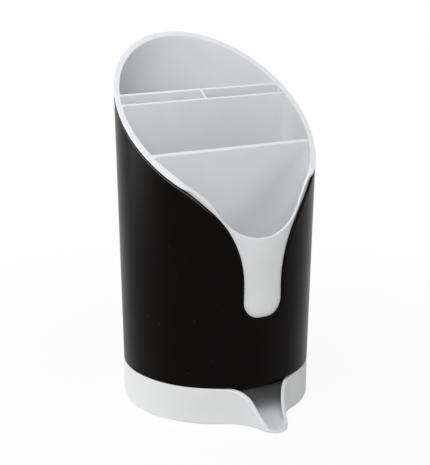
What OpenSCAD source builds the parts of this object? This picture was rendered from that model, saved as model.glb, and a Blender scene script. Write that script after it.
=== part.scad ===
// Cutlery drainer: a divided caddy stands in a tapered sleeve, and both stand on a drip tray with a spout.
// Millimetres, +Z up, front towards -Y. The pieces are drawn about the axis of the round body.
// They are then set in the part's frame, whose origin is on the table, under the middle of the whole part.

/* [Body] */
// Outer radius of the tray and of the foot of the sleeve
body_r = 60; // [52:0.5:70]
// Widening of the upright walls per millimetre of height
draft = 0.018; // [0.008:0.002:0.03]
// Height at which the slanted rim plane crosses the axis
rim_mid_h = 182.2; // [165:0.2:210]
// Tilt of the rim plane, low at the front, in degrees
rim_tilt = 36.4; // [28:0.2:42]

/* [Drip tray] */
// Height of the tray's top edge above the table
tray_h = 24.8; // [20:0.2:32]
// Thickness of the tray's wall
tray_wall = 2.2; // [1.4:0.1:2.6]
// Thickness of the tray's floor
tray_floor = 2.4; // [1.6:0.1:2.5]
// Fall of the tray's floor towards the spout, in degrees
floor_fall = 2; // [1:0.25:3]
// Size of the chamfer along the tray's lower edge
tray_edge = 1.6; // [0.8:0.1:2.2]

/* [Spout] */
// How far the spout stands out in front of the tray
spout_reach = 21.4; // [16:0.2:28]
// Radius of the spout's nose
spout_nose_r = 9.2; // [7:0.1:11]
// Radius of the hollow curve between the tray's side and the spout
spout_blend_r = 28.5; // [18:0.5:40]
// Height of the pouring lip above the tray's underside
lip_h = 2.8; // [2.6:0.1:4]
// Length of the level lip in front of the side walls' ends
lip_land = 5.5; // [4:0.1:8]
// Height of the side walls' ends above the lip
spout_end_h = 1.5; // [1:0.1:2.5]
// Slope of the side walls from their ends up to the knee, in degrees
spout_low_slope = 40; // [34:0.5:46]
// Height of the side walls' knee above the lip
spout_knee_h = 6.6; // [5:0.1:8]
// Slope of the side walls above the knee, in degrees
spout_slope = 54; // [48:0.5:60]
// Radius where the spout's side walls leave the tray's top edge
spout_shoulder_r = 22; // [14:0.5:24]

/* [Sleeve] */
// Thickness of the sleeve's wall
sleeve_wall = 1.6; // [1.2:0.1:2.2]
// Depth of the sleeve's spigot inside the tray
spigot_depth = 3.2; // [2.6:0.2:6]
// Gap between the spigot and the tray's wall
spigot_gap = 0.3; // [0.2:0.05:0.6]
// Lead-in chamfer at the foot of the spigot
spigot_lead = 0.8; // [0.4:0.1:1]

/* [Slot] */
// Width of the slot in the sleeve's front
slot_w = 26.6; // [24:0.2:32]
// Height of the bottom of the slot
slot_bottom_h = 68.6; // [55:0.2:72]
// Radius of the slot's lower corners
slot_corner_r = 10.6; // [5:0.2:11]
// Height at which the slot starts to flare
flare_h = 89.7; // [86:0.1:98]
// Radius of the flare
flare_r = 66; // [60:1:74]
// Slope of the flare where it reaches the rim, in degrees
flare_slope = 45.5; // [43:0.5:50]
// Half of the flare's width where it runs out into the rim
flare_half_w = 45; // [44:0.5:48]

/* [Caddy] */
// Thickness of the caddy's wall
caddy_wall = 1.7; // [1.3:0.1:2.4]
// Thickness of the caddy's floor
caddy_floor = 1.8; // [1.4:0.1:2.6]
// Gap between the caddy and the sleeve
caddy_gap = 0.3; // [0.2:0.05:0.6]
// Thickness of the rim's flange, measured upright
flange_h = 1.8; // [1.4:0.1:2.6]
// Gap between the flange and the sleeve's top edge, measured upright
flange_gap = 0.3; // [0.2:0.05:0.6]
// How far in front of the axis the flange runs before it ends beside the dip
flange_reach = 45; // [43:0.5:47]

/* [Dividers] */
// Thickness of the dividers
divider_t = 1.8; // [1.4:0.1:2.6]
// Distance of the rear divider behind the axis
rear_divider_y = 19.9; // [16:0.1:24]
// Width of the knife slots
knife_gap = 5.1; // [4.6:0.1:7]
// Distance of the front divider in front of the axis
front_divider_y = 21.5; // [17:0.1:25]

/* [Dipped lip] */
// Height of the lowest point of the lip
dip_bottom_h = 118.3; // [110:0.1:124]
// Radius of the hollow of the dip
dip_r = 32; // [27:0.5:35]
// Steepest slope of the dip's sides, in degrees
dip_slope = 61; // [55:0.5:64]
// Radius where the dip's sides turn over into the rim
dip_shoulder_r = 55; // [40:1:65]

/* [Drain holes] */
// Diameter of the drain holes in the caddy's floor
hole_d = 5; // [4:0.25:6]
// Diameter of the drain holes in the knife slots
knife_hole_d = 3.5; // [2.5:0.25:4]
// Spacing of the drain holes
hole_pitch = 15; // [12:0.5:20]
// Least distance from a hole's edge to a wall
hole_margin = 4; // [3:0.5:6]

/* [Feet] */
// Diameter of the feet
foot_d = 12; // [9:0.5:15]
// Depth of a foot in its recess
foot_sunk = 0.8; // [0.6:0.1:1]
// Height of a foot below the tray
foot_proud = 0.8; // [0.5:0.1:1.5]
// Gap around a foot in its recess
foot_gap = 0.15; // [0.1:0.05:0.3]
// Wall of the boss around a foot
boss_wall = 2; // [1.4:0.1:3]
// Radius of the circle that the feet stand on
foot_ring_r = 45; // [38:0.5:46]

/* [Hidden] */
$fn = 96;
white = "#eef0ef";
black = "#1a1a19";
grey = "#8c8f90";

// A length past every piece, for cuts that run right through
far = 400;
// Overlap of two blends, so that their faces cross and don't only touch
bite = 0.05;

tray_z = foot_proud;
tip_y = -(body_r + spout_reach);
nose_y = tip_y + spout_nose_r;
ledge_z = tray_h + sleeve_wall;
caddy_inset = sleeve_wall + caddy_gap;
cavity_inset = caddy_inset + caddy_wall;
cavity_z = ledge_z + caddy_floor;
knife_divider_y = rear_divider_y - divider_t - knife_gap;

// A height above the rim's highest point, where the upright walls are drawn to before the rim is cut
rim_top_z = rim_mid_h + tan(rim_tilt) * 2 * body_r;

// Rearmost point of the rim, and how far the body's axis stands behind the middle of the whole part
rear_y = (body_r + draft * (rim_mid_h - tray_h)) / (1 - draft * tan(rim_tilt));
axis_y = -(tip_y + rear_y) / 2;

// Centre of the curve between the tray's side and the spout: it touches both round outlines
blend_a = body_r + spout_blend_r - bite;
blend_b = spout_nose_r + spout_blend_r;
blend_y = (blend_a ^ 2 - blend_b ^ 2 + nose_y ^ 2) / (2 * nose_y);
blend_x = sqrt(blend_a ^ 2 - blend_y ^ 2);

// Radius of the body's outer face at a height
function wall_r(z) = body_r + draft * (z - tray_h);

// Part of the body's tapered form between two heights, set in from the outer face
module taper(z0, z1, inset) {
    translate([0, 0, z0])
        cylinder(h = z1 - z0, r1 = wall_r(z0) - inset, r2 = wall_r(z1) - inset);
}

// Everything above the rim plane, shifted upright by an offset
module above_rim(offset_z) {
    translate([0, 0, rim_mid_h + offset_z])
        rotate([rim_tilt, 0, 0])
            translate([-far / 2, -far / 2, 0])
                cube(far);
}

// An outline in front view, carried forward from a distance in front of the axis
module forward(from_y) {
    translate([0, -from_y, 0])
        rotate([90, 0, 0])
            linear_extrude(far)
                children();
}

// The slot's outline in front view: round lower corners, upright sides, and a flare that runs out above the rim
module slot_outline() {
    half_w = slot_w / 2;
    corner_z = slot_bottom_h + slot_corner_r;
    centre_x = half_w + flare_r;
    end_x = centre_x - flare_r * sin(flare_slope);
    end_z = flare_h + flare_r * cos(flare_slope);
    top_x = flare_half_w;
    top_z = end_z + (top_x - end_x) * tan(flare_slope);
    translate([-half_w, corner_z])
        square([slot_w, flare_h - corner_z]);
    translate([-half_w + slot_corner_r, slot_bottom_h])
        square([slot_w - 2 * slot_corner_r, 2 * slot_corner_r]);
    for (side = [-1, 1])
        translate([side * (half_w - slot_corner_r), corner_z])
            circle(slot_corner_r);
    difference() {
        polygon([[-half_w, corner_z], [half_w, corner_z], [half_w, flare_h], [end_x, end_z], [top_x, top_z],
            [top_x, far], [-top_x, far], [-top_x, top_z], [-end_x, end_z], [-half_w, flare_h]]);
        for (side = [-1, 1])
            translate([side * centre_x, flare_h])
                circle(flare_r);
    }
}

// The dip of the front lip in front view: a hollow round bottom whose sides turn over into the rim
module dip_outline() {
    side_x = dip_r * sin(dip_slope);
    side_z = dip_bottom_h + dip_r * (1 - cos(dip_slope));
    over_x = side_x + dip_shoulder_r * sin(dip_slope);
    over_z = side_z - dip_shoulder_r * cos(dip_slope);
    end_x = over_x - dip_shoulder_r * sin(rim_tilt);
    end_z = over_z + dip_shoulder_r * cos(rim_tilt);
    translate([0, dip_bottom_h + dip_r])
        circle(dip_r);
    difference() {
        polygon([[-side_x, side_z], [side_x, side_z], [end_x, end_z],
            [end_x + far * cos(dip_slope), end_z + far * sin(dip_slope)],
            [-end_x - far * cos(dip_slope), end_z + far * sin(dip_slope)], [-end_x, end_z]]);
        for (side = [-1, 1])
            translate([side * over_x, over_z])
                circle(dip_shoulder_r);
    }
}

// The tray's plan with its spout between two heights, set in from the outer face at the foot and at the top
module tray_plan(z0, z1, inset0, inset1) {
    h = z1 - z0;
    translate([0, 0, z0]) {
        cylinder(h = h, r1 = body_r - inset0, r2 = body_r - inset1);
        translate([0, nose_y, 0])
            cylinder(h = h, r1 = spout_nose_r - inset0, r2 = spout_nose_r - inset1);
        difference() {
            linear_extrude(h)
                polygon([[0, 0], [-blend_x, blend_y], [0, nose_y], [blend_x, blend_y]]);
            for (side = [-1, 1])
                translate([side * blend_x, blend_y, 0])
                    cylinder(h = h, r1 = spout_blend_r + inset0, r2 = spout_blend_r + inset1);
        }
    }
}

// Everything above the tray's sloping floor, shifted upright by an offset
module above_floor(offset_z) {
    translate([0, tip_y, tray_z + offset_z])
        rotate([floor_fall, 0, 0])
            translate([-far / 2, -far / 2, 0])
                cube(far);
}

// What is cut away above the spout's side walls, drawn in side view
module spout_cut() {
    lip_z = tray_z + lip_h;
    end_y = tip_y + lip_land;
    end_z = lip_z + spout_end_h;
    knee_z = lip_z + spout_knee_h;
    knee_y = end_y + (knee_z - end_z) / tan(spout_low_slope);
    top_y = knee_y + (tray_h - knee_z) / tan(spout_slope);
    round_y = top_y + spout_shoulder_r * tan(spout_slope / 2);
    chord = 2 * spout_shoulder_r * sin(spout_slope / 2);
    chord_y = round_y - chord * cos(spout_slope / 2);
    chord_z = tray_h - chord * sin(spout_slope / 2);
    rotate([90, 0, 90])
        translate([0, 0, -far / 2])
            linear_extrude(far)
                difference() {
                    polygon([[tip_y - far, lip_z], [end_y, lip_z], [end_y, end_z], [knee_y, knee_z],
                        [chord_y, chord_z], [round_y, tray_h], [round_y, far], [tip_y - far, far]]);
                    translate([round_y, tray_h - spout_shoulder_r])
                        circle(spout_shoulder_r);
                }
}

// Places its children at one foot: side is -1 for left and 1 for right, end is -1 for front and 1 for rear
module at_foot(side, end) {
    turn = 45;
    translate([side * foot_ring_r * sin(turn), end * foot_ring_r * cos(turn), 0])
        children();
}

// The hollow under the tray's floor, with a boss left round each foot
module under_hollow() {
    difference() {
        translate([0, 0, -tray_z])
            cylinder(h = tray_h, r = body_r - tray_edge - tray_wall);
        above_floor(0);
        for (side = [-1, 1], end = [-1, 1])
            at_foot(side, end)
                cylinder(h = tray_h, r = foot_d / 2 + foot_gap + boss_wall);
    }
}

module drip_tray() {
    color(white)
        difference() {
            union() {
                tray_plan(tray_z, tray_z + tray_edge, tray_edge, 0);
                tray_plan(tray_z + tray_edge, tray_h, 0, 0);
            }
            intersection() {
                tray_plan(tray_z, tray_h + tray_wall, tray_wall, tray_wall);
                above_floor(tray_floor);
            }
            spout_cut();
            under_hollow();
            for (side = [-1, 1], end = [-1, 1])
                at_foot(side, end)
                    cylinder(h = tray_z + foot_sunk, r = foot_d / 2 + foot_gap);
        }
}

module outer_sleeve() {
    spigot_r = body_r - tray_wall - spigot_gap;
    spigot_z = tray_h - spigot_depth;
    color(black)
        difference() {
            rotate_extrude()
                polygon([[spigot_r - sleeve_wall, spigot_z], [spigot_r - spigot_lead, spigot_z],
                    [spigot_r, spigot_z + spigot_lead], [spigot_r, tray_h], [wall_r(tray_h), tray_h],
                    [wall_r(rim_top_z), rim_top_z], [wall_r(rim_top_z) - sleeve_wall, rim_top_z],
                    [wall_r(ledge_z) - sleeve_wall, ledge_z], [spigot_r - sleeve_wall, ledge_z]]);
            above_rim(-flange_h - flange_gap);
            forward(0)
                slot_outline();
        }
}

// The dividers across the caddy, with the web that parts the two knife slots
module dividers() {
    for (y = [rear_divider_y, knife_divider_y, -front_divider_y])
        translate([-body_r, y - divider_t / 2, 0])
            cube([2 * body_r, divider_t, rim_top_z]);
    translate([-divider_t / 2, knife_divider_y, 0])
        cube([divider_t, rear_divider_y - knife_divider_y, rim_top_z]);
}

// One row of drain holes across a compartment, as wide as the caddy's floor allows
module hole_row(y, d, x0) {
    end_x = sqrt((wall_r(cavity_z) - cavity_inset) ^ 2 - y ^ 2) - hole_margin - d / 2;
    count = floor((end_x - x0) / hole_pitch);
    for (side = [-1, 1], i = [0 : 1 : count])
        if (side > 0 || x0 + i > 0)
            translate([side * (x0 + i * hole_pitch), y, 0])
                cylinder(h = far, d = d);
}

// Rows of drain holes between two walls, spread evenly
module hole_field(y0, y1) {
    room = y1 - y0 - 2 * hole_margin - hole_d;
    count = floor(room / hole_pitch);
    for (i = [0 : 1 : count])
        hole_row((y0 + y1 + (2 * i - count) * hole_pitch) / 2, hole_d, (i % 2) * hole_pitch / 2);
}

module drain_holes() {
    floor_r = wall_r(cavity_z) - cavity_inset;
    hole_field(rear_divider_y + divider_t / 2, floor_r);
    hole_field(divider_t / 2 - front_divider_y, knife_divider_y - divider_t / 2);
    hole_field(-floor_r, -front_divider_y - divider_t / 2);
    hole_row((rear_divider_y + knife_divider_y) / 2, knife_hole_d, hole_pitch / 2);
}

module inner_caddy() {
    color(white)
        difference() {
            union() {
                taper(ledge_z, rim_top_z, caddy_inset);
                intersection() {
                    taper(ledge_z, rim_top_z, 0);
                    above_rim(-flange_h);
                    translate([-far / 2, -flange_reach, 0])
                        cube(far);
                }
            }
            above_rim(0);
            forward(front_divider_y + divider_t)
                dip_outline();
            difference() {
                taper(cavity_z, rim_top_z, cavity_inset);
                dividers();
            }
            intersection() {
                drain_holes();
                taper(tray_h, cavity_z + caddy_floor, 0);
            }
        }
}

// A soft foot with a chamfered tread, standing on the table and pressed up into its recess
module foot(side, end) {
    color(grey)
        at_foot(side, end) {
            cylinder(h = foot_proud / 2, d1 = foot_d - foot_proud, d2 = foot_d);
            translate([0, 0, foot_proud / 2])
                cylinder(h = foot_sunk + foot_proud / 2, d = foot_d);
        }
}

module foot_front_left() {
    foot(-1, -1);
}

module foot_front_right() {
    foot(1, -1);
}

module foot_rear_left() {
    foot(-1, 1);
}

module foot_rear_right() {
    foot(1, 1);
}

// Sets a piece in the part's frame
module in_frame() {
    translate([0, axis_y, 0])
        children();
}

in_frame() drip_tray();
in_frame() outer_sleeve();
in_frame() inner_caddy();
in_frame() foot_front_left();
in_frame() foot_front_right();
in_frame() foot_rear_left();
in_frame() foot_rear_right();
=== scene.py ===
# %% [markdown]
# # A cutlery drainer
# The object is three plastic mouldings that lift apart for washing. A white drip tray with a pouring
# spout stands on soft feet. A black tapered sleeve stands on the tray. A white divided caddy stands in
# the sleeve. Its front dips to a low lip, and its wall shows through a flared slot in the sleeve. This
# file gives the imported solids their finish: finer surfaces with moulded round edges, materials, light and
# a camera.

# %% Load the frame
import bmesh
import bpy
import numpy as np
from mathutils import Euler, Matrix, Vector
from mathutils.geometry import delaunay_2d_cdt


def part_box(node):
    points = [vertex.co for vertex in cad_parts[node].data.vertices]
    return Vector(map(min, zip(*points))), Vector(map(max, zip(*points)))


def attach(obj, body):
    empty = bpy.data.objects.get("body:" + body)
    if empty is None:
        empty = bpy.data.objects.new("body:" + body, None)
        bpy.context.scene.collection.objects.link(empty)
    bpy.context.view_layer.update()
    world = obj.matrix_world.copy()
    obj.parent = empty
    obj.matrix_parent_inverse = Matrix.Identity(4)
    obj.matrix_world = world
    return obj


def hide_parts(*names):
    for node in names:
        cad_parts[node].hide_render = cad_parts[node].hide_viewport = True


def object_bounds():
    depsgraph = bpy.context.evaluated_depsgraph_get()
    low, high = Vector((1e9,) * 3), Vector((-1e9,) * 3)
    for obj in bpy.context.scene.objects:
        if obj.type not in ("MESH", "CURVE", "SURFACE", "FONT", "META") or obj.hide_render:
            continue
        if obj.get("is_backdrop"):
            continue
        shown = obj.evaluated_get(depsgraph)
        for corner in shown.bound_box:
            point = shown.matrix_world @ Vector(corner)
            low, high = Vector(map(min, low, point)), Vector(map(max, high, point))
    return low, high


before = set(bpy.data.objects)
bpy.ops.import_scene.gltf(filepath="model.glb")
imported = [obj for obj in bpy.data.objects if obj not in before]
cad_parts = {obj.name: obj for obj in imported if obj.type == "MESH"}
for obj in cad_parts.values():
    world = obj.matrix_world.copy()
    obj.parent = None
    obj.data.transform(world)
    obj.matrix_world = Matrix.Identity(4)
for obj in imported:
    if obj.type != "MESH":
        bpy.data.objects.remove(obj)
solid_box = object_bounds()
mm_per_m = 1000
foot_names = [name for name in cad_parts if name.startswith("foot_")]
feet = [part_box(name) for name in foot_names]
axis_y = mm_per_m * np.mean([(low.y + high.y) / 2 for low, high in feet])

# %% [markdown]
# ## Sizes of the round body
# All sizes are in millimetres, as on the drawing, and heights are above the table. The wall leans out a
# little as it rises, so that the moulding leaves its mould, and the rim is a slanted plane that is low at
# the front. Angles go round from the front (0) to the right (a quarter turn) and the back (half a turn).

# %% The tapered wall and the slanted rim
body_r = 60.0
tray_h = 24.8
wall_lean = 0.018
rim_mid_h = 182.2
rim_slope = np.tan(np.radians(36.4))


def wall_r(z):
    """Radius of the body's outer face: its radius at the tray plus the lean times the height above it."""
    return body_r + wall_lean * (z - tray_h)


def rim_plane(y):
    """Height of the slanted rim: a plane that rises towards the back."""
    return rim_mid_h + rim_slope * y


def round_body(angle, z, r):
    """Points on the round body: x is r times the sine of the angle, y is minus r times the cosine."""
    angle, z, r = np.broadcast_arrays(angle, z, r)
    return np.stack([r * np.sin(angle), -r * np.cos(angle), z], axis=-1)


def smooth_min(a, b, reach):
    """The lower of two heights, with the corner rounded wherever they differ by less than reach."""
    closeness = np.clip(1 - np.abs(a - b) / reach, 0, 1)
    return np.minimum(a, b) - closeness ** 2 * reach / 4


def smooth_step(x, low, high):
    """Rises from 0 at low to 1 at high with level ends: three times the square less twice the cube."""
    t = np.clip((x - low) / (high - low), 0, 1)
    return t * t * (3 - 2 * t)


# The wall and the plane are both linear, so they meet at one point at the back and one at the front.
rim_back_y = wall_r(rim_mid_h) / (1 - wall_lean * rim_slope)
rim_front_y = -wall_r(rim_mid_h) / (1 + wall_lean * rim_slope)
back_h, front_h = rim_plane(rim_back_y), rim_plane(rim_front_y)
print(f"rim plane {back_h:.1f} mm high at the back, {front_h:.1f} mm at the front")

# %% [markdown]
# ## From arrays to a piece
# Each moulding is put together from patches. A patch is a grid of points, or a flat face with holes.
# Where two patches meet they share the same points, so merging the doubles closes the shell, and Blender
# can then turn all faces outwards. Each point also carries a share of painted light, a lighter colour
# that stands for light falling on tops and edges, which the materials read.

# %% Patches
inside_only = 1
same_point_mm = 1e-5


def grid_patch(points, painted_light=0.0):
    """Quads between the rows of a grid of points, with the last column joined to the first."""
    rows, cols = points.shape[:2]
    index = np.arange(rows * cols).reshape(rows, cols)
    right = np.roll(index, -1, axis=1)
    quads = np.stack([index[:-1], right[:-1], right[1:], index[1:]], axis=-1).reshape(-1, 4)
    painted_share = np.broadcast_to(painted_light, (rows, cols)).astype(float)
    return points.reshape(-1, 3), quads, painted_share.reshape(-1)


def anticlockwise(loop):
    """The loop, reversed if its area by the shoelace formula, the sum of cross products, is negative."""
    after = np.roll(loop, -1, axis=0)
    twice_area = np.sum(loop[:, 0] * after[:, 1] - loop[:, 1] * after[:, 0])
    return loop if twice_area > 0 else loop[::-1]


def level(z):
    """A height function for a flat patch: z everywhere."""
    return lambda x, y: np.full_like(x, z)


def flat_patch(loops, height, painted_light=0.0):
    """Triangles inside the first loop and outside the others; height gives z from x and y."""
    loops = [anticlockwise(loop) for loop in loops]
    ends = np.cumsum([len(loop) for loop in loops])
    outlines = [list(range(end - len(loop), end)) for loop, end in zip(loops, ends)]
    plan = [Vector(point) for point in np.concatenate(loops).tolist()]
    found = delaunay_2d_cdt(plan, [], outlines, inside_only, same_point_mm)
    xy = np.array(found[0], float).reshape(-1, 2)
    # A triangle's sources are the loops that it lies in. The first loop alone means that it is in no hole.
    triangles = [face for face, sources in zip(found[2], found[5]) if list(sources) == [0]]
    return np.column_stack([xy, height(*xy.T)]), np.array(triangles), np.full(len(xy), painted_light)


print(f"points within {same_point_mm} mm count as one where a face is filled")

# %% [markdown]
# ## One closed shell
# The shading has to be smooth round an edge of half a millimetre and flat right beside it. Smooth shading
# alone would smear the edge over the face, so true corners are marked sharp, and a weighted normal lets
# the large faces decide. The shell's open edges are counted: a closed one has none.

# %% Shells from patches
weld, sliver = 4e-6, 1e-7
sharp_from = np.radians(38)
cm3_per_m3 = 1e6


def moulding(name, patches, body, node):
    """One closed shell from its patches, in metres in the part's frame, riding on its body."""
    starts = np.cumsum([0] + [len(patch[0]) for patch in patches[:-1]])
    points = np.concatenate([patch[0] for patch in patches]) + [0, axis_y, 0]
    faces = [face for patch, start in zip(patches, starts) for face in (patch[1] + start).tolist()]
    mesh = bpy.data.meshes.new(name)
    mesh.from_pydata((points / mm_per_m).tolist(), [], faces)
    # Each point's share of painted light is kept as an attribute for the materials.
    painted_share = mesh.attributes.new("painted_light", "FLOAT", "POINT")
    painted_share.data.foreach_set("value", np.concatenate([patch[2] for patch in patches]).astype(np.float32))
    shell = bmesh.new()
    shell.from_mesh(mesh)
    bmesh.ops.remove_doubles(shell, verts=shell.verts, dist=weld)
    bmesh.ops.dissolve_degenerate(shell, edges=shell.edges, dist=sliver)
    bmesh.ops.recalc_face_normals(shell, faces=shell.faces)
    open_edges = sum(not edge.is_manifold for edge in shell.edges)
    volume = shell.calc_volume(signed=True) * cm3_per_m3
    shell.to_mesh(mesh)
    shell.free()
    mesh.shade_smooth()
    mesh.set_sharp_from_angle(angle=sharp_from)
    piece = bpy.data.objects.new(name, mesh)
    bpy.context.scene.collection.objects.link(piece)
    flat_faces = piece.modifiers.new("flat_faces", "WEIGHTED_NORMAL")
    flat_faces.keep_sharp = True
    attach(piece, body)
    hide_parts(node)
    print(f"{name}: {len(mesh.vertices)} points, {len(mesh.polygons)} faces, "
          f"{open_edges} open edges, {volume:.1f} cm3")
    return piece


print(f"doubles within {weld * mm_per_m} mm are merged")

# %% [markdown]
# ## The edge of the sleeve
# The sleeve's top edge is one closed line. It runs round the back on a plane just under the rim, turns
# down along a flare on each side of the front, and closes round the bottom of a narrow slot. A cut
# through a cone would leave corners where the flare meets the slanted plane, so the line is drawn point
# by point: the lower of the two heights is taken with the corner rounded, and the points are then spread
# evenly along its length.

# %% Half of the edge line
edge_drop = 2.1
slot_half_w, slot_bottom_h, slot_corner_r = 13.3, 68.6, 10.6
flare_h, flare_r, flare_slope = 89.7, 66.0, np.radians(45.5)
shoulder_end_x, shoulder_h, shoulder_blend = 52.0, 150.0, 1.5
edge_mid_h = 120.0
corner_steps, flare_steps, shoulder_steps, back_steps = 60, 120, 160, 400


def arc(centre_x, centre_z, r, turn):
    """Points on an arc: the centre plus the radius times the cosine and the sine of each turn."""
    return np.stack([centre_x + r * np.cos(turn), centre_z + r * np.sin(turn)], axis=1)


def spread(line, count):
    """Points spread evenly along a line: its length is summed by steps and read back at equal shares."""
    length = np.concatenate([[0], np.cumsum(np.hypot(*np.diff(line, axis=0).T))])
    share = np.linspace(0, length[-1], count)
    return np.stack([np.interp(share, length, column) for column in line.T], axis=1)


def slanted_edge(angle):
    """Height of a plane edge_drop under the rim where it meets the leaning wall: both are linear in z."""
    fall = rim_slope * np.cos(angle)
    return (rim_mid_h - edge_drop - fall * (body_r - wall_lean * tray_h)) / (1 + fall * wall_lean)


def sleeve_edge(count):
    """Half of the edge as angle and height: slot corner, flare, shoulder in front view, then the plane."""
    corner = arc(slot_half_w - slot_corner_r, slot_bottom_h + slot_corner_r, slot_corner_r,
                 np.linspace(-np.pi / 2, 0, corner_steps))
    flare = arc(slot_half_w + flare_r, flare_h, flare_r,
                np.linspace(np.pi, np.pi / 2 + flare_slope, flare_steps))
    x = np.linspace(flare[-1, 0], shoulder_end_x, shoulder_steps)[1:]
    straight = flare[-1, 1] + (x - flare[-1, 0]) * np.tan(flare_slope)
    slant = slanted_edge(np.arcsin(x / wall_r(shoulder_h)))
    shoulder = np.stack([x, smooth_min(straight, slant, shoulder_blend)], axis=1)
    front = np.concatenate([[[0, slot_bottom_h]], corner, flare, shoulder])
    front[:, 0] = np.arcsin(front[:, 0] / wall_r(front[:, 1]))
    round_back = np.linspace(front[-1, 0], np.pi, back_steps)[1:]
    line = np.concatenate([front, np.stack([round_back, slanted_edge(round_back)], axis=1)])
    mm_per_angle = [wall_r(edge_mid_h), 1]
    return spread(line * mm_per_angle, count) / mm_per_angle


line_half = 321
edge_half = sleeve_edge(line_half)
print(f"half of the sleeve's edge: {line_half} points, {np.degrees(edge_half[-1, 0]):.0f} degrees round")

# %% [markdown]
# ## Across the edge
# To round the edge over, each point needs the direction that leads out of the wall there: along the wall,
# square to the line. It comes from the points before and after it. The columns of the sleeve are crowded
# round the slot, as the edge's points are, so lower down they are spread out again by part of the way.

# %% The whole edge line and the way out of it
crowding = 0.45


def both_sides(half, turned):
    """A closed line from its right half: the left comes back in reverse, as a full turn less each angle."""
    back = half[-2:0:-1]
    return np.concatenate([half, 2 * np.pi - back if turned else back])


edge_angle = both_sides(edge_half[:, 0], True)
edge_z = both_sides(edge_half[:, 1], False)
next_angle = np.append(edge_angle[1:], 2 * np.pi)
last_angle = np.append(edge_angle[-1] - 2 * np.pi, edge_angle[:-1])
edge_run = wall_r(edge_z) * (next_angle - last_angle)
edge_rise = np.roll(edge_z, -1) - np.roll(edge_z, 1)
out_angle = -edge_rise / np.hypot(edge_run, edge_rise) / wall_r(edge_z)
out_z = edge_run / np.hypot(edge_run, edge_rise)
even_angle = np.linspace(0, 2 * np.pi, len(edge_angle), endpoint=False)
foot_angle = crowding * edge_angle + (1 - crowding) * even_angle
print(f"sleeve edge: {len(edge_angle)} points, {edge_z.min():.1f} to {edge_z.max():.1f} mm high")

# %% [markdown]
# ## The sleeve
# The real sleeve is a thin moulded tube. Its edge is rolled over on the outside, so that it is pleasant
# to hold. Where the roll begins, a thin pale line is painted on: a painted highlight that stands for the
# lamps' reflection on the roll. It could be a cone with booleans and a bevel, but a bevel breaks where the
# cut runs across many facets. Here a profile is carried round the edge line instead: up the outer face,
# over the edge, down the inner face to the ledge that the caddy stands on, and round the spigot that sits
# in the tray.

# %% Ways to make the sleeve's rows
sleeve_wall = 1.6
edge_round, inner_edge_round = 1.4, 0.2
ledge_z = tray_h + sleeve_wall
quarter = np.linspace(0, np.pi / 2, 6)[:, None]
quarter_back = quarter[::-1]


def from_foot_to_edge(rows, foot_z, inset, back_off):
    """Rows up the wall from a level circle to the edge, inset from the outer face, ending back_off below."""
    t = np.linspace(0, 1, rows)[:, None]
    top_angle = edge_angle - back_off * out_angle
    top_z = edge_z - back_off * out_z
    z = foot_z + (top_z - foot_z) * t
    return round_body(foot_angle + (top_angle - foot_angle) * t, z, wall_r(z) - inset)


def over_the_edge(round_r, inset, turn):
    """Rows round one side of the edge: a quarter circle seen across it, inset from the outer face."""
    reach = round_r * (np.sin(turn) - 1)
    z = edge_z + reach * out_z
    return round_body(edge_angle + reach * out_angle, z, wall_r(z) - inset)


def circles(profile):
    """Level circles under the wall, one for each radius and height of a profile."""
    r, z = np.array(profile).T[:, :, None]
    return round_body(foot_angle, z, r)


print(f"sleeve wall {sleeve_wall} mm, its edge rolled over by {edge_round} mm")

# %% The sleeve's rows and painted highlight
spigot_r, spigot_z, spigot_lead = 57.5, 21.6, 0.8
sleeve_foot_round = 0.5
outer_rows, inner_rows = 36, 14
outer = from_foot_to_edge(outer_rows, tray_h + sleeve_foot_round, 0, edge_round)
edge_out = over_the_edge(edge_round, edge_round * (1 - np.cos(quarter)), quarter)
edge_in = over_the_edge(inner_edge_round, sleeve_wall - inner_edge_round * (1 - np.cos(quarter_back)),
                        quarter_back)
inner = from_foot_to_edge(inner_rows, ledge_z, sleeve_wall, inner_edge_round)[::-1]
spigot = circles([(wall_r(ledge_z) - sleeve_wall, ledge_z), (spigot_r - sleeve_wall, ledge_z),
                  (spigot_r - sleeve_wall, spigot_z), (spigot_r - spigot_lead, spigot_z),
                  (spigot_r, spigot_z + spigot_lead), (spigot_r, tray_h),
                  (body_r - sleeve_foot_round, tray_h)])
foot_edge = circles(np.column_stack([body_r - sleeve_foot_round * (1 - np.sin(quarter)),
                                     tray_h + sleeve_foot_round * (1 - np.cos(quarter))]))
sleeve_rows = np.concatenate([outer, edge_out, edge_in, inner, spigot, foot_edge, outer[:1]])
# The share of painted highlight on each row of the roll. It fades out on the way down to the slot.
highlight_share = np.array([0.0, 1.0, 0.4, 0.0, 0.0, 0.0])[:, None]
highlight_gone_h, highlight_full_h = 132.0, 146.0
sleeve_painted_light = np.zeros(sleeve_rows.shape[:2])
sleeve_painted_light[len(outer):len(outer) + len(highlight_share)] = highlight_share * smooth_step(edge_z, highlight_gone_h, highlight_full_h)
sleeve = moulding("outer_sleeve_moulding", [grid_patch(sleeve_rows, sleeve_painted_light)], "sleeve", "outer_sleeve")

# %% [markdown]
# ## The top of the caddy
# The caddy's rim lies in the slanted plane. At the front it leaves the plane and dips to a low lip that
# spoons and forks can be reached over. The dip is drawn in front view: a hollow round bottom, and sides
# that turn over into the rim. Where the dip meets the plane the real moulding has no corner, so the lower
# of the two is taken smoothly.

# %% The rim plane and the dip
dip_bottom_h, dip_r, dip_slope = 118.3, 32.0, np.radians(61)
shoulder_r = 55.0
dip_back_y, dip_blend, out_of_reach = -23.3, 2.5, 50.0
dip_side_x = dip_r * np.sin(dip_slope)
shoulder_x = dip_side_x + shoulder_r * np.sin(dip_slope)
shoulder_z = dip_bottom_h + dip_r * (1 - np.cos(dip_slope)) - shoulder_r * np.cos(dip_slope)
dip_end_x = shoulder_x - shoulder_r * rim_slope / np.hypot(1, rim_slope)


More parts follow.
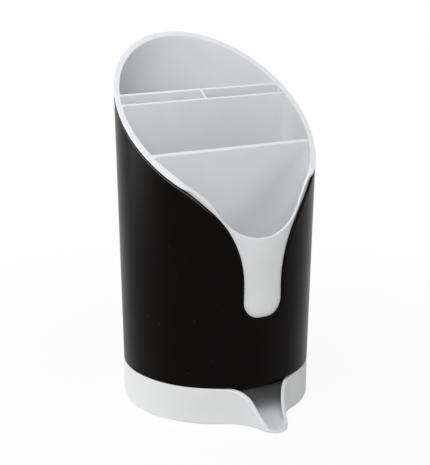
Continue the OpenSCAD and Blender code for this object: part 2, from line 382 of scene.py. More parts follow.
def dip_z(x):
    """Height of the dip in front view: an arc, a counter arc, and a steep line that ends above the rim."""
    x = np.abs(x)
    bottom = dip_bottom_h + dip_r - np.sqrt(np.maximum(dip_r ** 2 - x ** 2, 0))
    side = shoulder_z + np.sqrt(np.maximum(shoulder_r ** 2 - (x - shoulder_x) ** 2, 0))
    end_z = shoulder_z + np.sqrt(shoulder_r ** 2 - (dip_end_x - shoulder_x) ** 2)
    steep = end_z + (x - dip_end_x) * np.tan(dip_slope)
    return np.where(x < dip_side_x, bottom, np.where(x < dip_end_x, side, steep))


def caddy_top(x, y):
    """Height of the caddy's top: the rim plane, and before the front divider the dip where it is lower."""
    plane = rim_plane(y)
    dip = np.where(y < dip_back_y, dip_z(x), plane + out_of_reach)
    return smooth_min(plane, dip, dip_blend)


print(f"lip {caddy_top(0.0, -body_r):.1f} mm high, rim joins the dip {dip_end_x:.1f} mm from the middle")

# %% [markdown]
# ## The wells
# Three dividers and a web part the caddy into five wells: a wide one at the back, two narrow ones for
# knives, a wide one in the middle and a low one at the front. The two dividers beside the knives are
# thinner than the front one. Each well is a convex outline of straight dividers, the round wall and
# rounded corners. Such an outline could be a boolean with a bevel. Here each of its points is found by
# direction: the furthest point of a smaller shape with sharp corners, plus the corner radius in that
# direction. Drawn a little wider it gives the round edge of the rim above the well, and a little narrower
# the hollow fillet at its floor.

# %% The outline of a well
well_inset, corner_r = 3.6, 0.7
divider_half, knife_half = 0.9, 0.6
rear_divider_y, knife_divider_y, front_divider_y = 19.9, 13.0, -21.5
open_end = np.inf
hair = 1e-6
turn_steps, wall_steps, web_steps = 9, 110, 18


def well_directions(front, rear, web):
    """The directions in which an outline is drawn: close on the round wall, and a few round each corner."""
    r = wall_r(rim_mid_h) - well_inset - corner_r
    low, high = np.arcsin(np.clip([(front + corner_r) / r, (rear - corner_r) / r], -1, 1))
    low_corner = np.linspace(hair - np.pi / 2, low, turn_steps)[:-1] if front > -open_end else []
    high_corner = np.linspace(high, np.pi / 2 - hair, turn_steps)[1:] if rear < open_end else []
    right = np.concatenate([low_corner, np.linspace(low, high, wall_steps), high_corner])
    web_corners = np.linspace(hair, np.pi - hair, web_steps) + np.pi / 2
    return np.concatenate([right, np.pi - right[::-1] if web is None else web_corners])


def well_outline(direction, front, rear, web, r, grow):
    """A well's outline, grow wider than its walls: the inner shape's furthest point plus the corner."""
    across, along = np.cos(direction), np.sin(direction)
    y = np.clip((r - corner_r) * along, front + corner_r, rear - corner_r)
    x = np.sign(across) * np.sqrt((r - corner_r) ** 2 - y ** 2)
    if web is not None:
        x = np.where(across < 0, web + corner_r, x)
        y = np.where(across < 0, np.where(along > 0, rear - corner_r, front + corner_r), y)
    return x + (corner_r + grow) * across, y + (corner_r + grow) * along


print(f"room for a knife: {rear_divider_y - knife_divider_y - 2 * knife_half:.1f} mm")

# %% Ways to make a well's rows
floor_z = 28.2
rim_round = 0.4
longest_step = 6.0
settle_rounds = 6
well_down = np.linspace(0, 1, 10)[1:, None]


def split_steps(rows):
    """Adds columns where neighbours are far apart, as along a divider: even shares of the way between."""
    step = np.linalg.norm(np.roll(rows[0], -1, axis=0) - rows[0], axis=1)
    count = np.maximum(np.ceil(step / longest_step), 1).astype(int)
    start = np.repeat(np.arange(len(step)), count)
    share = np.concatenate([np.arange(n) / n for n in count])[:, None]
    return rows[:, start] * (1 - share) + np.roll(rows, -1, axis=1)[:, start] * share


def well_rows(front, rear, web, side, fillet_r):
    """Rows down a well: over the rim's round edge, down the leaning wall, round the fillet to the floor."""
    direction = well_directions(front, rear, web)

    def outline(r, grow):
        """This well's outline."""
        return well_outline(direction, front, rear, web, r, grow)

    r = np.full(len(direction), wall_r(rim_mid_h) - well_inset)
    for settling in range(settle_rounds):
        r = wall_r(caddy_top(*outline(r, 0))) - well_inset
    x, y = outline(r, rim_round * (1 - np.cos(quarter_back)))
    edge = np.stack([x, y, caddy_top(x, y) - rim_round * (1 - np.sin(quarter_back))], axis=-1)
    z = edge[-1, :, 2] + (floor_z + fillet_r - edge[-1, :, 2]) * well_down
    x, y = outline(wall_r(z) - well_inset, 0)
    wall = np.stack([x, y, z], axis=-1)
    x, y = outline(wall_r(z[-1]) - well_inset, -fillet_r * (1 - np.cos(quarter[1:])))
    fillet_z = floor_z + fillet_r * (1 - np.sin(quarter[1:]))
    fillet = np.stack(np.broadcast_arrays(x, y, fillet_z), axis=-1)
    return split_steps(np.concatenate([edge, wall, fillet])) * [side, 1, 1]


print(f"no step along a well is longer than {longest_step} mm")

# %% The five wells
wide_fillet, knife_fillet = 0.6, 0.4
knife_sides = knife_divider_y + knife_half, rear_divider_y - knife_half, divider_half
wells = {
    "rear": well_rows(rear_divider_y + knife_half, open_end, None, 1, wide_fillet),
    "knife_left": well_rows(*knife_sides, -1, knife_fillet),
    "knife_right": well_rows(*knife_sides, 1, knife_fillet),
    "middle": well_rows(front_divider_y + divider_half, knife_divider_y - knife_half, None, 1, wide_fillet),
    "front": well_rows(-open_end, front_divider_y - divider_half, None, 1, wide_fillet),
}
print({name: rows.shape[:2] for name, rows in wells.items()})

# %% [markdown]
# ## The drain holes
# Water leaves each well through round holes in its floor. They stand in rows, as far apart as the pitch
# and as near to the walls as the margin allows, so that each well gets as many as fit.

# %% Where the holes are
hole_pitch, hole_margin = 15.0, 4.0
hole_r, knife_hole_r = 2.5, 1.75
floor_r = wall_r(floor_z) - well_inset


def hole_row(y, r, start):
    """Centres of one row of holes on both sides of the middle, from start outwards, one pitch apart."""
    end = np.sqrt(floor_r ** 2 - y ** 2) - hole_margin - r
    x = np.arange(start, end + hair, hole_pitch)
    x = np.concatenate([-x[x > 0][::-1], x])
    return np.column_stack([x, np.full(len(x), y)])


def hole_field(front, rear):
    """Rows of holes between two walls, a pitch apart and centred, every other one moved by half a pitch."""
    count = int((rear - front - 2 * hole_margin - 2 * hole_r) // hole_pitch)
    return np.concatenate([hole_row((front + rear + (2 * i - count) * hole_pitch) / 2, hole_r,
                                    (i % 2) * hole_pitch / 2) for i in range(count + 1)])


knife_holes = hole_row((rear_divider_y + knife_divider_y) / 2, knife_hole_r, hole_pitch / 2)
holes = {
    "rear": hole_field(rear_divider_y + divider_half, floor_r),
    "knife_left": knife_holes[knife_holes[:, 0] < 0],
    "knife_right": knife_holes[knife_holes[:, 0] > 0],
    "middle": hole_field(front_divider_y + divider_half, knife_divider_y - divider_half),
    "front": hole_field(-floor_r, front_divider_y - divider_half),
}
print({name: len(centres) for name, centres in holes.items()})

# %% [markdown]
# ## The outside of the caddy
# Most of the caddy's outside is a plain leaning wall that stands inside the sleeve and shows in its slot.
# Along the rim a narrow flange reaches out over the sleeve's edge. It tapers away beside the dip, where
# the lip is only as thick as the wall. The section of rim and flange is carried round the top as a few
# steps, each a distance in from the skin and a drop below the top face, so that the outside keeps to the
# same top face as the wells.

# %% The line of the rim
caddy_inset = 1.9
flange_end, flange_gone = 40.5, 48.0


def skin_inset(angle):
    """How far the skin stands behind the sleeve's outer face: 0 on the flange, as the wall in front."""
    return caddy_inset * smooth_step(wall_r(dip_bottom_h) * np.cos(angle), flange_end, flange_gone)


def top_line(angle, inset):
    """Radius and height of the top face, inset from the sleeve's outer face, settled as the wall leans."""
    r = wall_r(rim_mid_h) - inset
    for settling in range(settle_rounds):
        z = caddy_top(r * np.sin(angle), -r * np.cos(angle))
        r = wall_r(z) - inset
    return r, z


fine_angle = np.linspace(0, np.pi, 3000)
rim_r = wall_r(rim_mid_h)
fine_line = np.stack([rim_r * fine_angle, top_line(fine_angle, skin_inset(fine_angle))[1]], axis=1)
rim_angle = both_sides(spread(fine_line, line_half)[:, 0] / rim_r, True)
print(f"rim line: {len(rim_angle)} points")

# %% The rows down the outside
flange_h, flange_round = 1.8, 0.3
base_round = 0.8
rim_edge = np.column_stack([rim_round * (1 - np.cos(quarter_back)), rim_round * (1 - np.sin(quarter_back))])
flange_edge = np.column_stack([flange_round * (1 - np.cos(quarter)),
                               flange_h - flange_round * (1 - np.sin(quarter))])
section = np.concatenate([rim_edge, flange_edge, [[caddy_inset, flange_h]]])
inset = skin_inset(rim_angle) + section[:, :1]
inset[len(rim_edge):] = np.minimum(inset[len(rim_edge):], caddy_inset)
top_r, top_z = top_line(rim_angle, inset)
flange = round_body(rim_angle, top_z - section[:, 1:], top_r)
down = np.linspace(0, 1, 14)[1:, None]
down_z = flange[-1, :, 2] + (ledge_z + base_round - flange[-1, :, 2]) * down
caddy_wall = round_body(rim_angle, down_z, wall_r(down_z) - caddy_inset)
base = round_body(rim_angle, ledge_z + base_round * (1 - np.sin(quarter[1:])),
                  wall_r(ledge_z) - caddy_inset - base_round * (1 - np.cos(quarter[1:])))
outside = np.concatenate([flange, caddy_wall, base])
outside_painted_light = np.zeros(outside.shape[:2])
# The rim's round outer edge gets painted light, a whiter colour for the light from above.
outside_painted_light[:len(rim_edge)] = 1
print(f"outside of the caddy: {outside.shape[0]} rows of {outside.shape[1]} points")

# %% [markdown]
# ## The caddy put together
# The flat faces are filled last, from the loops of points that the rows leave open: the rim between the
# outside and the wells, each well's floor round its holes, and the underside. A triangulation that keeps
# given edges does this exactly, with the same points as the rows, so the shell closes. The tops of rim
# and dividers get painted light: a whiter colour where the light from above falls on them.

# %% Fill and close the caddy
hole_lip, hole_sides = 0.3, 24
lip_turn = np.linspace(0, np.pi / 2, 4)


def ring(centre, r, z, count):
    """Circles of points round one centre, one row for each radius and height."""
    angle = np.linspace(0, 2 * np.pi, count, endpoint=False)
    r, z, angle = np.broadcast_arrays(np.array(r)[:, None], np.array(z)[:, None], angle)
    return np.stack([centre[0] + r * np.cos(angle), centre[1] + r * np.sin(angle), z], axis=-1)


caddy_patches = [grid_patch(outside, outside_painted_light)]
hole_feet = []
for name, rows in wells.items():
    well_painted_light = np.zeros(rows.shape[:2])
    # The round edge over each well gets painted light, a whiter colour for the light from above.
    well_painted_light[:len(quarter) - 1] = 1
    r = knife_hole_r if name.startswith("knife") else hole_r
    pipe_r = np.append(r + hole_lip * (1 - np.sin(lip_turn)), r)
    pipe_z = np.append(floor_z - hole_lip * (1 - np.cos(lip_turn)), ledge_z)
    pipes = [ring(centre, pipe_r, pipe_z, hole_sides) for centre in holes[name]]
    hole_feet += [pipe[-1, :, :2] for pipe in pipes]
    caddy_patches += [grid_patch(rows, well_painted_light)] + [grid_patch(pipe) for pipe in pipes]
    caddy_patches.append(flat_patch([rows[-1, :, :2]] + [pipe[0, :, :2] for pipe in pipes], level(floor_z)))
well_mouths = [rows[0, :, :2] for rows in wells.values()]
# The flat tops of rim and dividers get full painted light.
caddy_patches.append(flat_patch([outside[0, :, :2]] + well_mouths, caddy_top, 1.0))
caddy_patches.append(flat_patch([outside[-1, :, :2]] + hole_feet, level(ledge_z)))
caddy = moulding("inner_caddy_moulding", caddy_patches, "caddy", "inner_caddy")

# %% [markdown]
# ## The drip tray
# The tray is a round dish whose front wall is drawn out into a spout. Its plan is three arcs on each side
# that touch one another: the nose, a hollow curve, and the round body. Set in by the wall's thickness,
# the same three arcs give the inside.

# %% The tray's plan
spout_reach, nose_r, blend_r = 21.4, 9.2, 28.5
nose_steps, blend_steps, body_steps = 28, 54, 150
tip_y = -(body_r + spout_reach)
nose_y = tip_y + nose_r
blend_y = ((body_r + blend_r) ** 2 - (nose_r + blend_r) ** 2 + nose_y ** 2) / (2 * nose_y)
blend_x = np.sqrt((body_r + blend_r) ** 2 - blend_y ** 2)
body_turn = np.arctan2(blend_x, -blend_y)
nose_turn = np.arctan2(blend_x, nose_y - blend_y)
arcs = [(0, nose_y, nose_r, np.linspace(0, nose_turn, nose_steps)),
        (blend_x, blend_y, -blend_r, np.linspace(nose_turn, body_turn, blend_steps)[1:]),
        (0, 0, body_r, np.linspace(body_turn, np.pi, body_steps)[1:])]
centre_x, centre_y, arc_r = (np.concatenate([np.full(len(a[3]), a[k]) for a in arcs]) for k in range(3))
plan_x = np.concatenate([centre_x, -centre_x[-2:0:-1]])
plan_y = both_sides(centre_y, False)
plan_r = both_sides(arc_r, False)
plan_turn = both_sides(np.concatenate([a[3] for a in arcs]), True)


def tray_rows(inset, height):
    """Rows round the tray: each arc keeps its centre and loses inset of its radius; height is z from y."""
    r = plan_r - inset
    x = plan_x + r * np.sin(plan_turn)
    y = plan_y - r * np.cos(plan_turn)
    return np.stack(np.broadcast_arrays(x, y, height(y)), axis=-1)


tray_plan = tray_rows(0.0, np.zeros_like)
plan_w, plan_d = np.ptp(tray_plan[:, :2], axis=0)
print(f"tray plan: {plan_w:.1f} by {plan_d:.1f} mm, {len(tray_plan)} points")

# %% [markdown]
# ## The tray's edge and floor
# The spout's side walls fall from the tray's edge over a round shoulder and a hollow arc, and end bluntly
# at the nose. Between their ends the floor runs out over a thin lip that is rolled over, so that the
# water leaves it in a clean stream. The floor falls towards it.

# %% Heights in the tray
tray_z, tray_wall, tray_floor = 0.8, 2.2, 2.4
floor_fall = np.tan(np.radians(2))
lip_z, lip_land, lip_fall, lip_curl = tray_z + 2.8, 6.4, 1.7, 1.5
lip_edge = 0.04
spout_top, spout_shoulder_r, spout_hollow_r, spout_slope = 31.5, 19.0, 29.0, np.radians(59.5)
wall_end, wall_full = 4.9, 6.1
turn_back = spout_top - spout_shoulder_r * np.sin(spout_slope)
hollow_back = turn_back - spout_hollow_r * np.sin(spout_slope)
hollow_z = tray_h - spout_shoulder_r + (spout_shoulder_r + spout_hollow_r) * np.cos(spout_slope)


def under_z(x, y):
    """Height of the floor's underside: a plane that falls towards the spout."""
    return tray_z + (y - tip_y) * floor_fall


def tray_top(y):
    """Height of the tray's edge, back from the nose: lip, blunt wall end, hollow arc, round shoulder."""
    back = y - tip_y
    to_shoulder = np.clip(spout_top - back, 0, spout_shoulder_r)
    from_hollow = np.clip(back - hollow_back, 0, spout_hollow_r)
    shoulder = tray_h - spout_shoulder_r + np.sqrt(spout_shoulder_r ** 2 - to_shoulder ** 2)
    hollow = hollow_z - np.sqrt(spout_hollow_r ** 2 - from_hollow ** 2)
    nose = lip_z - lip_fall * np.clip(1 - back / lip_land, 0, 1) ** lip_curl
    wall = np.where(back > turn_back, shoulder, hollow)
    return nose + (wall - nose) * smooth_step(back, wall_end, wall_full)


def floor_top(x, y):
    """Height of the tray's floor: a falling plane that runs out over the nose just under the edge."""
    return np.minimum(under_z(x, y) + tray_floor, tray_top(y) - lip_edge)


print(f"tray edge {tray_top(0.0):.1f} mm high, lip {tray_top(tip_y):.1f} mm")

# %% The tray's rows
tray_foot, tray_edge, tray_inner_edge, tray_fillet = 1.6, 0.9, 0.4, 2.0
# No rounding takes more than these shares of the height that it has, so that the thin nose keeps its shape.
edge_share, other_share = 0.5, 0.45
outer_y, inner_y = (tray_rows(inset, np.zeros_like)[:, 1] for inset in (0, tray_wall))
outer_rise = tray_top(outer_y) - tray_z
inner_rise = tray_top(inner_y) - floor_top(0, inner_y)
outer_round = np.minimum(tray_edge, edge_share * outer_rise)
under_round = np.minimum(tray_foot, other_share * outer_rise)
inner_round = np.minimum(tray_inner_edge, other_share * inner_rise)
fillet_r = np.minimum(tray_fillet, other_share * inner_rise)
up = np.linspace(0, 1, 9)[1:-1, None]
dish_bands = [
    tray_rows(under_round * (1 - np.sin(quarter)), lambda y: tray_z + under_round * (1 - np.cos(quarter))),
    tray_rows(0 * up, lambda y: (tray_z + under_round) * (1 - up) + (tray_top(y) - outer_round) * up),
    tray_rows(outer_round * (1 - np.cos(quarter)),
              lambda y: tray_top(y) - outer_round * (1 - np.sin(quarter))),
    tray_rows(tray_wall - inner_round * (1 - np.cos(quarter_back)),
              lambda y: tray_top(y) - inner_round * (1 - np.sin(quarter_back))),
    tray_rows(tray_wall + 0 * up,
              lambda y: (tray_top(y) - inner_round) * (1 - up) + (floor_top(0, y) + fillet_r) * up),
    tray_rows(tray_wall + fillet_r * (1 - np.cos(quarter)),
              lambda y: floor_top(0, y) + fillet_r * (1 - np.sin(quarter))),
]
dish = np.concatenate(dish_bands)
# The rows with painted highlight, a whiter colour where light catches the edge, are those of the two
# rounded edges on top, but not the first and the last of them.
edge_start = len(dish_bands[0]) + len(dish_bands[1])
edge_end = edge_start + len(dish_bands[2]) + len(dish_bands[3])
dish_painted_light = np.zeros(dish.shape[:2])
dish_painted_light[edge_start + 1:edge_end - 1] = 1
print(f"tray: {dish.shape[0]} rows, edge {dish[..., 2].max():.1f} mm, nose {outer_rise.min():.2f} mm thick")

# %% [markdown]
# ## Under the tray
# Underneath, the tray is hollow so that its floor is as thin as its wall, and four round bosses take the
# soft feet. Each boss is a profile turned about its own axis: up its side, round its edge and into the
# recess that holds the foot.

# %% Close the tray
boss_r, boss_round, boss_sides = 8.15, 0.4, 40
hollow_r, hollow_sides = body_r - tray_foot - tray_wall, 120
recess_r, recess_z = 6.15, tray_z + 0.8
underside = ring((0, 0), [hollow_r, hollow_r], [tray_z, 0], hollow_sides)
underside[1, :, 2] = under_z(underside[1, :, 0], underside[1, :, 1])
boss_edge = np.column_stack([boss_r - boss_round * (1 - np.cos(lip_turn)),
                             tray_z + boss_round * (1 - np.sin(lip_turn))])
boss_profile = np.concatenate([[[boss_r, 0]], boss_edge, [[recess_r, tray_z], [recess_r, recess_z]]])
foot_centres = [((low + high) / 2 * mm_per_m).to_2d() - Vector((0, axis_y)) for low, high in feet]
bosses = [ring(centre, *boss_profile.T, boss_sides) for centre in foot_centres]
for boss in bosses:
    boss[0, :, 2] = under_z(boss[0, :, 0], boss[0, :, 1])
tray_patches = [
    grid_patch(dish, dish_painted_light),
    flat_patch([dish[-1, :, :2]], floor_top),
    flat_patch([dish[0, :, :2], underside[0, :, :2]], level(tray_z)),
    grid_patch(underside),
    flat_patch([underside[1, :, :2]] + [boss[0, :, :2] for boss in bosses], under_z),
]
tray_patches += [grid_patch(boss) for boss in bosses]
tray_patches += [flat_patch([boss[-1, :, :2]], level(recess_z)) for boss in bosses]
tray = moulding("drip_tray_moulding", tray_patches, "tray", "drip_tray")

# %% [markdown]
# ## Materials
# All three mouldings are injection moulded. Their tools were finely blasted, so the surfaces are satin: a
# broad, soft sheen with no sharp reflection, and a grain that is felt more than seen. An image could give
# the grain, but a pattern of nodes on the part's own coordinates stays the same size on every piece and
# needs no unwrapping.

# %% One function for colours and one for nodes
def linear(hex_colour):
    """Linear colour from an sRGB hex value: the two-part sRGB curve on each channel."""
    srgb = np.array([int(hex_colour[i:i + 2], 16) for i in (1, 3, 5)]) / 255
    return (*np.where(srgb <= 0.04045, srgb / 12.92, ((srgb + 0.055) / 1.055) ** 2.4), 1.0)


def add(tree, kind, sockets=None, **settings):
    """Adds a node: settings are its properties, sockets give inputs a value or the output that feeds it."""
    node = tree.nodes.new(kind)
    for name, value in settings.items():
        setattr(node, name, value)
    for name, value in (sockets or {}).items():
        if isinstance(value, bpy.types.NodeSocket):
            tree.links.new(value, node.inputs[name])
        else:
            node.inputs[name].default_value = value
    return node


def per_mm(size):
    """Scale of a pattern on metre coordinates whose features are size millimetres apart."""
    return mm_per_m / size


def empty_material(name):
    """A new material with nothing but its output node."""
    material = bpy.data.materials.new(name)
    material.use_nodes = True
    material.node_tree.nodes.clear()
    return material, add(material.node_tree, "ShaderNodeOutputMaterial")


print(f"middle grey #808080 is {linear('#808080')[0]:.3f} in linear light")

# %% [markdown]
# ### White polypropylene
# The caddy and the tray are white polypropylene. It is a little waxy: the eye sees a soft sheen, hardly
# any colour, and faint clouds where the melt flowed. The tops of rim, dividers and tray are a little
# smoother, and painted whiter than the faces: painted light where the light from above falls on them.

# %% White polypropylene, satin moulded
def satin_white():
    """Off-white with faint flow clouds and a fine grain; tops and edges are smoother and have painted light.
    """
    material, output = empty_material("white_polypropylene_satin_moulded")
    tree = material.node_tree
    place = add(tree, "ShaderNodeTexCoord").outputs["Object"]
    painted_light = add(tree, "ShaderNodeAttribute", attribute_name="painted_light").outputs["Fac"]
    clouds = add(tree, "ShaderNodeTexNoise", {
        "Vector": place, "Scale": per_mm(38), "Detail": 2.0}).outputs["Fac"]
    tones = add(tree, "ShaderNodeValToRGB", {"Fac": clouds})
    for stop, position, tone in zip(tones.color_ramp.elements, (0.3, 0.7), ("#E9EBEA", "#EFF1F0")):
        stop.position = position
        stop.color = linear(tone)
    # Painted light: tops and edges are mixed towards a whiter colour, for the light from above.
    colour = add(tree, "ShaderNodeMix", {
        0: painted_light, 6: tones.outputs["Color"], 7: linear("#F2F3F3")}, data_type="RGBA").outputs[2]
    uneven = add(tree, "ShaderNodeMapRange", {
        "Value": clouds, "From Min": 0.3, "From Max": 0.7,
        "To Min": 0.36, "To Max": 0.44}).outputs["Result"]
    rough = add(tree, "ShaderNodeMath", {
        0: painted_light, 1: -0.1, 2: uneven}, operation="MULTIPLY_ADD").outputs["Value"]
    # The real grain is near 0.1 mm. It is drawn at 0.7 mm, because a pixel of the picture covers 0.5 mm.
    grain = add(tree, "ShaderNodeTexNoise", {
        "Vector": place, "Scale": per_mm(0.7), "Detail": 1.0}).outputs["Fac"]
    bump = add(tree, "ShaderNodeBump", {"Height": grain, "Strength": 0.12, "Distance": 0.00005})
    plastic = add(tree, "ShaderNodeBsdfPrincipled", {
        "Base Color": colour, "Roughness": rough, "Normal": bump.outputs["Normal"],
        "IOR": 1.49, "Specular IOR Level": 0.4})
    tree.links.new(plastic.outputs["BSDF"], output.inputs["Surface"])
    return material


white_plastic = satin_white()
print(f"made {white_plastic.name}")

# %% [markdown]
# ### Black polypropylene
# The sleeve is coloured through with carbon black. Straight on it is nearly black and a touch warm;
# towards its sides it catches the white surroundings as a soft grey sheen. A pale grey line is painted
# along the rolled edge, a painted highlight, and a little dust in the grain is pale grey too, which shows
# on black as on nothing else.

# %% Black polypropylene, satin moulded
def satin_black():
    """Near black with a fine grain, a sheen that varies slightly, a painted highlight on the rolled edge and
    sparse pale dust.
    """
    material, output = empty_material("black_polypropylene_satin_moulded")
    tree = material.node_tree
    place = add(tree, "ShaderNodeTexCoord").outputs["Object"]
    painted_light = add(tree, "ShaderNodeAttribute", attribute_name="painted_light").outputs["Fac"]
    # Real dust is finer. A speck is drawn at a third of a millimetre so that it shows.
    specks = add(tree, "ShaderNodeTexVoronoi", {"Vector": place, "Scale": per_mm(7.0)}).outputs["Distance"]
    dust = add(tree, "ShaderNodeMapRange", {
        "Value": specks, "From Min": 0.03, "From Max": 0.05,
        "To Min": 0.5, "To Max": 0.0}).outputs["Result"]
    # The pale mix is the painted highlight on the rolled edge together with the real dust specks.
    pale = add(tree, "ShaderNodeMath", {0: painted_light, 1: dust}, operation="MAXIMUM").outputs["Value"]
    colour = add(tree, "ShaderNodeMix", {
        0: pale, 6: linear("#080504"), 7: linear("#5A5A57")}, data_type="RGBA").outputs[2]
    clouds = add(tree, "ShaderNodeTexNoise", {
        "Vector": place, "Scale": per_mm(30), "Detail": 3.0}).outputs["Fac"]
    uneven = add(tree, "ShaderNodeMapRange", {
        "Value": clouds, "From Min": 0.3, "From Max": 0.7,
        "To Min": 0.26, "To Max": 0.32}).outputs["Result"]
    rough = add(tree, "ShaderNodeMath", {
        0: painted_light, 1: -0.08, 2: uneven}, operation="MULTIPLY_ADD").outputs["Value"]
    # The real grain is near 0.1 mm. It is drawn at 0.8 mm, because a pixel of the picture covers 0.5 mm.
    grain = add(tree, "ShaderNodeTexNoise", {
        "Vector": place, "Scale": per_mm(0.8), "Detail": 1.0}).outputs["Fac"]
    bump = add(tree, "ShaderNodeBump", {"Height": grain, "Strength": 0.15, "Distance": 0.00005})
    plastic = add(tree, "ShaderNodeBsdfPrincipled", {
        "Base Color": colour, "Roughness": rough, "Normal": bump.outputs["Normal"],
        "IOR": 1.49, "Specular IOR Level": 0.05})
    tree.links.new(plastic.outputs["BSDF"], output.inputs["Surface"])
    return material


black_plastic = satin_black()
print(f"made {black_plastic.name}")

# %% [markdown]
# ### Rubber
# The feet are small discs of grey thermoplastic rubber, pressed into their bosses. Rubber of this kind is
# dull, with a slight bloom, and its tread picks up dirt from the table.

# %% Thermoplastic rubber, moulded
def dull_rubber():
    """Mid grey with a mottled bloom and a soft grain."""
    material, output = empty_material("grey_thermoplastic_rubber_moulded")
    tree = material.node_tree
    place = add(tree, "ShaderNodeTexCoord").outputs["Object"]
    bloom = add(tree, "ShaderNodeTexNoise", {
        "Vector": place, "Scale": per_mm(3.0), "Detail": 4.0}).outputs["Fac"]
    tones = add(tree, "ShaderNodeValToRGB", {"Fac": bloom})
    for stop, position, tone in zip(tones.color_ramp.elements, (0.3, 0.75), ("#7E807E", "#9A9C9A")):
        stop.position = position
        stop.color = linear(tone)
    grain = add(tree, "ShaderNodeTexNoise", {
        "Vector": place, "Scale": per_mm(0.4), "Detail": 2.0}).outputs["Fac"]
    bump = add(tree, "ShaderNodeBump", {"Height": grain, "Strength": 0.3, "Distance": 0.0001})
    rubber = add(tree, "ShaderNodeBsdfPrincipled", {
        "Base Color": tones.outputs["Color"], "Roughness": 0.75, "Normal": bump.outputs["Normal"],
        "IOR": 1.52, "Specular IOR Level": 0.3})
    tree.links.new(rubber.outputs["BSDF"], output.inputs["Surface"])
    return material


foot_rubber = dull_rubber()
print(f"made {foot_rubber.name}")

# %% Give each piece its finish
finishes = {caddy: white_plastic, tray: white_plastic, sleeve: black_plastic}
finishes.update({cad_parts[name]: foot_rubber for name in foot_names})
for piece, material in finishes.items():
    piece.data.materials.clear()
    piece.data.materials.append(material)
print(f"{len(finishes)} pieces have a finish")

# %% [markdown]
# ## Floor and surroundings
# The picture's ground is plain white. A floor lit to pure white would flood the object with light, so the
# floor gives most of its white as its own colour to the camera and to reflections only, and the rest by
# the light that falls on it, which keeps the object's shadow. Further off the lit part fades out. The
# surroundings are white in the same way.

# %% White for the eye, not for the light
white = linear("#FFFFFF")


def white_when_seen(tree, lit, share):
    """Mixes a white glow into a lit surface by share, for rays from the camera, a gloss or a clear body."""
    rays = add(tree, "ShaderNodeLightPath").outputs
    seen = add(tree, "ShaderNodeMath", {
        0: rays["Is Camera Ray"], 1: rays["Is Glossy Ray"]}, operation="MAXIMUM").outputs["Value"]
    seen = add(tree, "ShaderNodeMath", {
        0: seen, 1: rays["Is Transmission Ray"]}, operation="MAXIMUM").outputs["Value"]
    part = add(tree, "ShaderNodeMath", {0: seen, 1: share}, operation="MULTIPLY").outputs["Value"]
    glow = add(tree, "ShaderNodeEmission", {"Color": white, "Strength": 1.0}).outputs["Emission"]
    return add(tree, "ShaderNodeMixShader", {0: part, 1: lit, 2: glow}).outputs[0]


world = bpy.data.worlds.new("studio")
world.use_nodes = True
world_tree = world.node_tree
world_tree.nodes.clear()
ambient = add(world_tree, "ShaderNodeBackground", {"Color": white, "Strength": 0.02}).outputs["Background"]
surroundings = white_when_seen(world_tree, ambient, 1.0)
add(world_tree, "ShaderNodeOutputWorld", {"Surface": surroundings})
bpy.context.scene.world = world
print(f"made {world.name}")

# %% A white floor
floor_half = 6.0
floor_corners = np.array([[-1, -1, 0], [1, -1, 0], [1, 1, 0], [-1, 1, 0]]) * floor_half
floor_mesh = bpy.data.meshes.new("floor")
floor_mesh.from_pydata(floor_corners.tolist(), [], [(0, 1, 2, 3)])
floor = bpy.data.objects.new("floor", floor_mesh)
bpy.context.scene.collection.objects.link(floor)
floor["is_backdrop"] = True
paper, paper_output = empty_material("white_paper_sweep")
paper_tree = paper.node_tree
paper_lit = add(paper_tree, "ShaderNodeBsdfDiffuse", {"Color": linear("#F4F4F4")}).outputs["BSDF"]
floor_place = add(paper_tree, "ShaderNodeTexCoord").outputs["Object"]
away = add(paper_tree, "ShaderNodeVectorMath", {0: floor_place}, operation="LENGTH").outputs["Value"]
glow_share = add(paper_tree, "ShaderNodeMapRange", {
    "Value": away, "From Min": 0.09, "From Max": 0.4, "To Min": 0.92, "To Max": 1.0}).outputs["Result"]
paper_surface = white_when_seen(paper_tree, paper_lit, glow_share)
paper_tree.links.new(paper_surface, paper_output.inputs["Surface"])
floor.data.materials.append(paper)
print(f"floor {2 * floor_half:.0f} m wide")

# %% [markdown]
# ## Lamps
# The light of the picture is soft and comes mostly from the left and from above: the left wall of each
# well is in shade, the right one is lit, and the tray darkens towards its right. Four lamps stand near,
# so that their light falls off over the object, and two large ones far off light it evenly. Their
# strengths were matched to the tones of the picture. The one above is cool and the far ones are slightly
# warm, because the wells look bluer than the outside does. The camera doesn't see them.

# %% Soft lamps
near, near_width = 0.6, 0.4
far, far_width = 1.6, 0.9
plain, cool, warm = "#FFFFFF", "#D6DBFF", "#FFFDE7"
lamp_target = Vector((0, 0, 0.1))


def towards(azimuth, elevation):
    """Direction from the object in radians: azimuth 0 is the front and turns right, elevation goes up."""
    flat = np.cos(elevation)
    return Vector((np.sin(azimuth) * flat, -np.cos(azimuth) * flat, np.sin(elevation)))


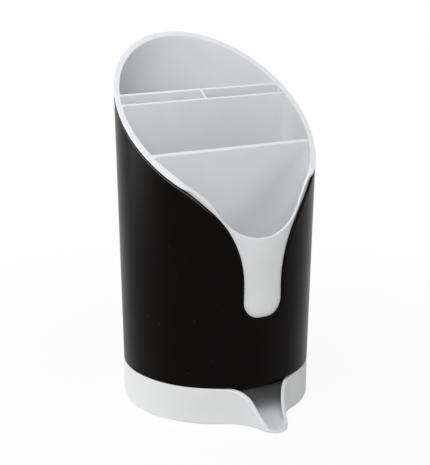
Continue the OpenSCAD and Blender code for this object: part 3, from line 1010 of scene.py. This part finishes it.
def soft_lamp(name, azimuth, elevation, distance, width, colour, power):
    """A square lamp facing the object, placed by its direction in degrees and its distance in metres."""
    direction = towards(*np.radians([azimuth, elevation]))
    data = bpy.data.lights.new(name, "AREA")
    data.size = width
    data.color = linear(colour)[:3]
    data.energy = power
    lamp = bpy.data.objects.new(name, data)
    lamp.location = lamp_target + distance * direction
    lamp.rotation_euler = direction.to_track_quat("Z", "Y").to_euler()
    lamp.visible_camera = False
    bpy.context.scene.collection.objects.link(lamp)
    return lamp


lamps = [
    soft_lamp("low_left_lamp", -120, 5, near, near_width, plain, 1.44),
    soft_lamp("back_lamp", -150, 58, near, near_width, plain, 0.77),
    soft_lamp("top_lamp", -30, 58, near, near_width, cool, 1.22),
    soft_lamp("front_lamp", -30, 30, near, near_width, plain, 0.78),
    soft_lamp("far_left_lamp", -60, 58, far, far_width, warm, 8.4),
    soft_lamp("far_right_lamp", 30, 8, far, far_width, warm, 3.4),
]
print({lamp.name: round(lamp.data.energy, 2) for lamp in lamps})

# %% [markdown]
# ## Camera
# The view is from left of the front and from above, with a long lens, as a product is photographed. The
# direction, distance and small shift were found by matching edges of the object to the picture.

# %% The camera
view_target = Vector((0, axis_y, 95.8)) / mm_per_m
view_distance = 0.759068
view_azimuth, view_elevation, view_roll = np.radians([-29.215, 16.096, 0.171])
image_h = 465
shift_px = Vector((-0.718, 17.415))
view_direction = towards(view_azimuth, view_elevation)
camera_data = bpy.data.cameras.new("camera")
camera_data.sensor_fit = "AUTO"
camera_data.sensor_width = 36.0
camera_data.lens = 91.44
camera_data.shift_x = shift_px.x / image_h
camera_data.shift_y = shift_px.y / image_h
camera = bpy.data.objects.new("camera", camera_data)
aim = view_direction.to_track_quat("Z", "Y") @ Euler((0, 0, view_roll)).to_quaternion()
camera.location = view_target + view_distance * view_direction
camera.rotation_euler = aim.to_euler()
bpy.context.scene.collection.objects.link(camera)
bpy.context.scene.camera = camera
bpy.context.scene.view_settings.view_transform = "Standard"
print(f"camera {view_distance:.3f} m away, {camera_data.lens:.1f} mm lens")

# %% [markdown]
# ## Sizes at the end
# The finish must not change the object's size, so the box of the solids and the box of the finished
# pieces are written side by side.

# %% Compare the boxes and finish
boxes = {"solids": solid_box, "finished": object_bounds()}
for name, box in boxes.items():
    print(name, [[round(mm_per_m * value, 2) for value in corner] for corner in box])
